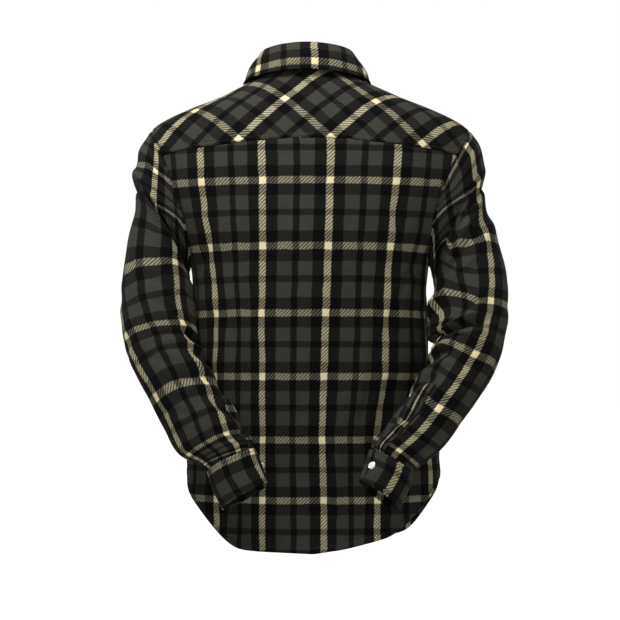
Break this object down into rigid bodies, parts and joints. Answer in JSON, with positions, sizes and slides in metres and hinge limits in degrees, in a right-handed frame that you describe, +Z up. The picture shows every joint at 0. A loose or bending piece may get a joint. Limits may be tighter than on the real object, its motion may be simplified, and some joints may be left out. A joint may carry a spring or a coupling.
{
  "type": "flannel shirt",
  "caption": "Long-sleeved checked flannel shirt in black, grey and cream, held in the form of being worn with both arms bent behind the back.",
  "frame": {"origin": "middle of the neck opening, level with the shoulders where they meet the neck", "axes": "+Z up the body, -Y out of the chest, +Y out of the back, +X to the wearer's left"},
  "size_m": [0.5831, 0.3409, 0.7695],
  "materials": {
    "flannel": "brushed, soft nap, black, charcoal and cream check",
    "snap": "pearl white, domed, glossy"
  },
  "bodies": {
    "root": {"back": "flannel", "yoke": "flannel", "front_left": "flannel", "front_right": "flannel", "placket": "flannel", "collar_stand": "flannel", "collar_leaf": "flannel", "sleeve_left": "flannel", "sleeve_right": "flannel", "cuff_left": "flannel", "cuff_right": "flannel", "sleeve_placket_left": "flannel", "sleeve_placket_right": "flannel", "snap_1": "snap", "snap_2": "snap", "snap_3": "snap", "snap_4": "snap", "snap_5": "snap", "snap_6": "snap", "snap_7": "snap", "snap_collar": "snap", "snap_cuff_left": "snap", "snap_cuff_right": "snap"}
  },
  "joints": []
}
